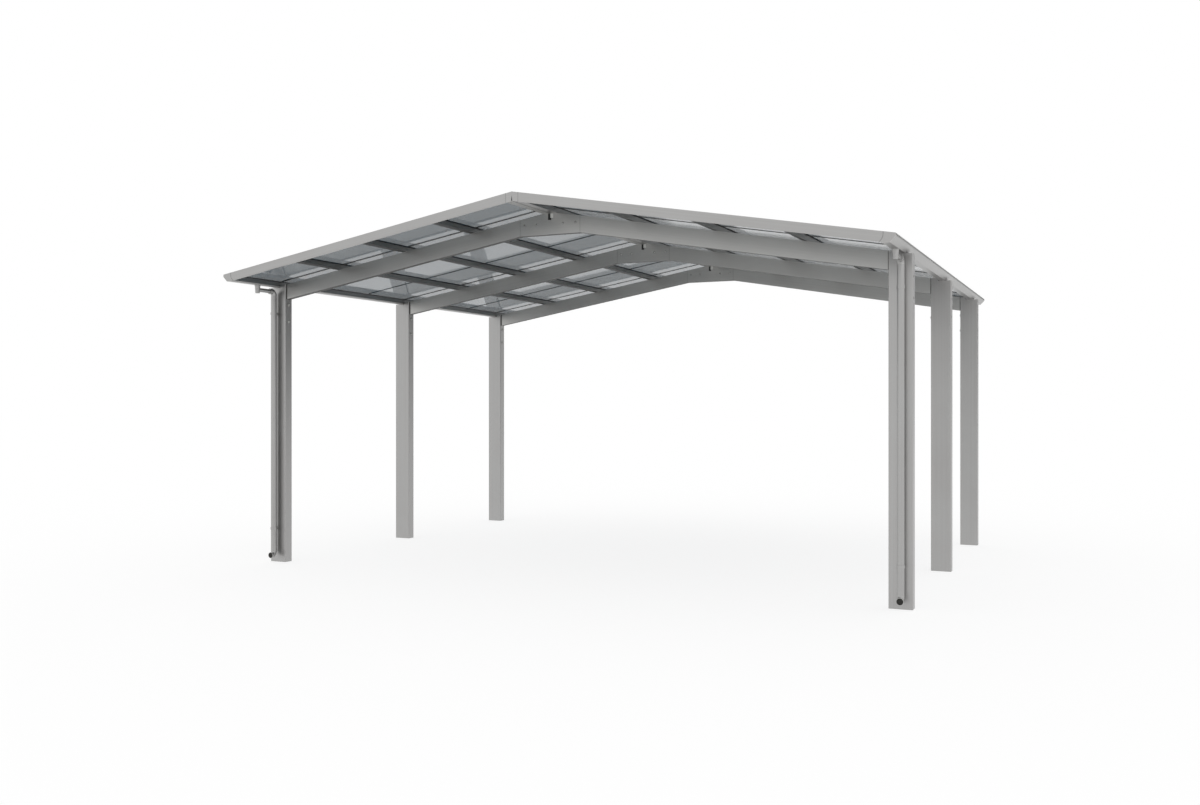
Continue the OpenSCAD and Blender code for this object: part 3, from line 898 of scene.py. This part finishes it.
@dataclass
class RainPipes:
    """What is fitted to the downpipes: socket rings, a rolled mouth and the hopper's rolled rim."""

    palette: Palette
    radius: float = 25.0
    wall: float = 2.2
    shadow: float = 1.0
    mouth_sides: int = 32
    outlet_z: float = 66.0
    bend: float = 36.0
    mouth: float = 6.0
    socket: float = 16.0
    ring: float = 1.6
    ring_steps: int = 40
    ring_sides: int = 8
    ring_sunk: float = 0.3
    hopper_rim: float = 25.0
    rim_sunk: float = 0.5
    rim_drop: float = 3.0
    feed_drop: float = 40.0

    def build(self) -> None:
        """Fits both downpipes."""
        low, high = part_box("downpipe_right")
        x = (low.x + high.x) / 2
        y = high.y - self.radius * MM
        gutter_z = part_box("gutter_right")[0].z
        hopper_y = sum(c.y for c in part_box("rain_hoppers")) / 2
        rings, dark = Shells(), Shells()
        on_pipe = self.radius - self.ring * self.ring_sunk
        on_hopper = self.hopper_rim - self.ring * self.rim_sunk
        bore = self.radius - self.wall
        for side, _ in SIDES:
            mouth = Vector((side * x, y - (self.bend + self.mouth) * MM, self.outlet_z * MM))
            for place, axis, radius in (
                    (Vector((side * x, y, (self.outlet_z + self.bend) * MM)), UP, on_pipe),
                    (Vector((side * x, y, gutter_z - (self.feed_drop + self.bend) * MM)), UP, on_pipe),
                    (Vector((side * x, y - (self.bend + self.socket) * MM, gutter_z - self.feed_drop * MM)),
                     BACK, on_pipe),
                    (mouth + BACK * self.ring * MM, BACK, on_pipe),
                    (Vector((side * x, hopper_y, gutter_z - self.rim_drop * MM)), UP, on_hopper)):
                self.collar(rings, place, axis, radius)
            dark.turned(mouth + BACK * self.shadow * MM, BACK, [(bore, 0), (bore, self.shadow)],
                        self.mouth_sides)
        # The collars are drawn lighter than the pipes: a painted highlight along their rolled edge
        add_piece("pipe_collars", rings, self.palette.edge, smooth=True)
        add_piece("pipe_mouth_shadows", dark, self.palette.gap)

    def collar(self, shells: Shells, place: Vector, axis: Vector, radius: float) -> None:
        """Puts a rolled ring round a pipe."""
        across = axis.orthogonal().normalized()
        beside = axis.cross(across)
        start, count, sides = len(shells.corners), self.ring_steps, self.ring_sides
        for k in range(count):
            turn = math.tau * k / count
            out = across * math.cos(turn) + beside * math.sin(turn)
            for s in range(sides):
                roll = math.tau * s / sides
                shells.corners.append(place + out * (radius + self.ring * math.cos(roll)) * MM
                                      + axis * self.ring * math.sin(roll) * MM)
        for k in range(count):
            for s in range(sides):
                a, b = start + k * sides, start + (k + 1) % count * sides
                t = (s + 1) % sides
                shells.faces.append((a + s, a + t, b + t, b + s))


@dataclass
class RidgeClips:
    """Black moulded clips that hold the ridge beam on the apex pieces."""

    palette: Palette
    hook: float = 16.0
    corner: float = 3.0
    lap: float = 4.0
    plate: float = 20.0
    plate_drop: float = 34.0
    leaf_thick: float = 4.8
    plate_thick: float = 3.0
    button: tuple[tuple[float, float], ...] = ((4.5, 0), (4.5, 0.6), (3.0, 1.2))
    button_sides: int = 12
    steps: int = 4

    def build(self) -> None:
        """Makes the three clips, each an upright leaf with a foot that turns to one side."""
        low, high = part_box("ridge_clips")
        leaf = self.outline(low, high)
        x0, x1 = high.x - self.lap * MM, high.x + self.plate * MM
        z0, z1 = high.z - self.plate_drop * MM, high.z
        plate = self.rounded([(x0, z0), (x1, z0), (x1, z1), (x0, z1)])
        leaves, plates = Shells(), Shells()
        for row in ROWS:
            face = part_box(f"apex_piece_{row}")[0].y
            front = face - self.leaf_thick * MM
            leaves.loft([[Vector((x, y, z)) for x, z in leaf] for y in (face, front)])
            leaves.turned(Vector((0, front, (low.z + high.z) / 2)), -BACK, self.button, self.button_sides)
            plates.loft([[Vector((x, y, z)) for x, z in plate] for y in (face, face - self.plate_thick * MM)])
        add_piece("ridge_clip_leaves", leaves, self.palette.moulded, stands_for="ridge_clips")
        # The packers are drawn white: a painted highlight beside each clip
        add_piece("ridge_clip_packers", plates, self.palette.highlight_nylon)

    def outline(self, low: Vector, high: Vector) -> list[tuple[float, float]]:
        """Draws a clip within its box, as X and Z of a line with rounded corners."""
        leaf = high.x - self.hook * MM / 2
        return self.rounded([(low.x, low.z), (high.x, low.z), (high.x, low.z + self.hook * MM),
                             (leaf, low.z + self.hook * MM), (leaf, high.z), (low.x, high.z)])

    def rounded(self, corners: list[tuple[float, float]]) -> list[tuple[float, float]]:
        """Cuts each corner of an outline with a curve that touches both of its sides."""
        points = []
        for i, here in enumerate(corners):
            before, after = corners[i - 1], corners[(i + 1) % len(corners)]
            spot = Vector(here)
            ease = self.corner * MM
            a = spot + (Vector(before) - spot).normalized() * ease
            b = spot + (Vector(after) - spot).normalized() * ease
            for k in range(self.steps + 1):
                t = k / self.steps
                point = a * (1 - t) ** 2 + spot * 2 * t * (1 - t) + b * t ** 2
                points.append((point.x, point.y))
        return points


@dataclass
class Studio:
    """The floor, the light, the dark card and the camera.

    The lens and its sensor are in millimetres, and the shift is a share of the frame's width.
    """

    stand: tuple[float, float, float] = (4.0758, -9.7351, 1.42)
    turn: float = 24.975
    lens: float = 33.54
    sensor: float = 36.0
    shift: float = -0.0006333333
    clip_end: float = 200.0
    floor_size: float = 160.0
    floor_colour: str = "f4f4f4"
    level: float = 0.6
    shadow_share: float = 0.38
    card_colour: str = "101010"
    card_from: tuple[float, float] = (5.2, 0.2)
    card_to: tuple[float, float] = (14.4, 30.0)
    card_low: float = 0.4
    card_high: float = 26.0
    feather_low: float = 2.6
    feather_high: float = 12.0
    feather_near: float = 3.5
    feather_far: float = 12.0

    def build(self) -> None:
        """Makes the camera, the world, the floor and the dark card."""
        self.build_camera()
        self.build_world()
        self.build_floor()
        self.build_card()

    def build_camera(self) -> None:
        """Stands the camera at eye height, level, in front of the right-hand posts."""
        data = bpy.data.cameras.new("camera")
        data.lens = self.lens
        data.sensor_width = self.sensor
        data.shift_y = self.shift
        data.clip_end = self.clip_end
        camera = put("camera", data)
        camera.location = self.stand
        camera.rotation_euler = (math.radians(90), 0.0, math.radians(self.turn))
        bpy.context.scene.camera = camera

    def seen(self, tree: NodeTree) -> NodeSocket:
        """Finds the rays from the camera, from gloss or through clear sheets."""
        path = add_node(tree, "ShaderNodeLightPath").outputs
        first = sum_of(tree, "MAXIMUM", path["Is Camera Ray"], path["Is Glossy Ray"])
        return sum_of(tree, "MAXIMUM", first, path["Is Transmission Ray"])

    def build_world(self) -> None:
        """Lights everything evenly and shows white behind the object."""
        world = bpy.data.worlds.new("studio")
        tree = emptied(world)
        lit = add_node(tree, "ShaderNodeBackground", {"Color": WHITE, "Strength": self.level})
        shown = add_node(tree, "ShaderNodeBackground", {"Color": WHITE, "Strength": 1.0})
        mix = add_node(tree, "ShaderNodeMixShader",
                       {0: self.seen(tree), 1: lit.outputs[0], 2: shown.outputs[0]})
        add_node(tree, "ShaderNodeOutputWorld", {"Surface": mix.outputs[0]})
        bpy.context.scene.world = world

    def build_floor(self) -> None:
        """Lays a pale floor that shows white where nothing shades it, and keeps a light shadow."""
        half = self.floor_size / 2
        floor = self.sheet("floor", [(-half, -half, 0), (half, -half, 0), (half, half, 0), (-half, half, 0)])
        material = bpy.data.materials.new("pale_floor")
        tree = emptied(material)
        colour = linear(self.floor_colour)
        glow_strength = (1 - self.shadow_share * colour[0] * self.level) / (1 - self.shadow_share)
        matt = add_node(tree, "ShaderNodeBsdfDiffuse", {"Color": colour})
        glow = add_node(tree, "ShaderNodeEmission", {"Color": WHITE, "Strength": glow_strength})
        shown = add_node(tree, "ShaderNodeMixShader",
                         {0: 1 - self.shadow_share, 1: matt.outputs[0], 2: glow.outputs[0]})
        mix = add_node(tree, "ShaderNodeMixShader",
                       {0: self.seen(tree), 1: matt.outputs[0], 2: shown.outputs[0]})
        add_node(tree, "ShaderNodeOutputMaterial", {"Surface": mix.outputs[0]})
        floor.data.materials.append(material)

    def build_card(self) -> None:
        """Hangs a black card behind the right-hand side, which only shiny faces mirror."""
        (x0, y0), (x1, y1) = self.card_from, self.card_to
        low, high = self.card_low, self.card_high
        card = self.sheet("dark_card", [(x0, y0, low), (x1, y1, low), (x1, y1, high), (x0, y0, high)])
        card.data.materials.append(self.feathered_black())
        card.visible_camera = False
        card.visible_diffuse = False
        card.visible_transmission = False
        card.visible_shadow = False

    def feathered_black(self) -> Material:
        """Makes the card's material: black in the middle and clear at all four edges."""
        material = bpy.data.materials.new("feathered_black")
        tree = emptied(material)
        place = add_node(tree, "ShaderNodeSeparateXYZ",
                         {0: add_node(tree, "ShaderNodeTexCoord").outputs["Object"]}).outputs
        (_, y0), (_, y1) = self.card_from, self.card_to
        low, high = self.card_low, self.card_high
        edges = [spread(tree, place[axis], source, interpolation_type="SMOOTHSTEP")
                 for axis, source in (
                     ("Z", (low, low + self.feather_low)), ("Z", (high, high - self.feather_high)),
                     ("Y", (y0, y0 + self.feather_near)), ("Y", (y1, y1 - self.feather_far)))]
        cover = edges[0]
        for edge in edges[1:]:
            cover = sum_of(tree, "MULTIPLY", cover, edge)
        black = add_node(tree, "ShaderNodeBsdfDiffuse", {"Color": linear(self.card_colour)})
        clear = add_node(tree, "ShaderNodeBsdfTransparent")
        mix = add_node(tree, "ShaderNodeMixShader", {0: cover, 1: clear.outputs[0], 2: black.outputs[0]})
        add_node(tree, "ShaderNodeOutputMaterial", {"Surface": mix.outputs[0]})
        return material

    def sheet(self, name: str, corners: list[tuple[float, float, float]]) -> Object:
        """Makes one flat sheet for the studio."""
        mesh = bpy.data.meshes.new(name)
        mesh.from_pydata(corners, [], [tuple(range(len(corners)))])
        sheet = put(name, mesh)
        return sheet


def main() -> None:
    """Dresses the carport and sets the stage."""
    logging.basicConfig(level=logging.INFO, format="%(message)s")
    bpy.context.scene.view_settings.view_transform = "Standard"
    Studio().build()
    roof = Roof()
    palette = Palette(roof.pitch)
    FrameFinish(palette).build()
    Fasteners(palette, roof).build()
    Seals(palette, roof).build()
    GutterTrim(palette).build()
    Joints(palette, roof).build()
    RainPipes(palette).build()
    RidgeClips(palette).build()


if __name__ == "__main__":
    main()
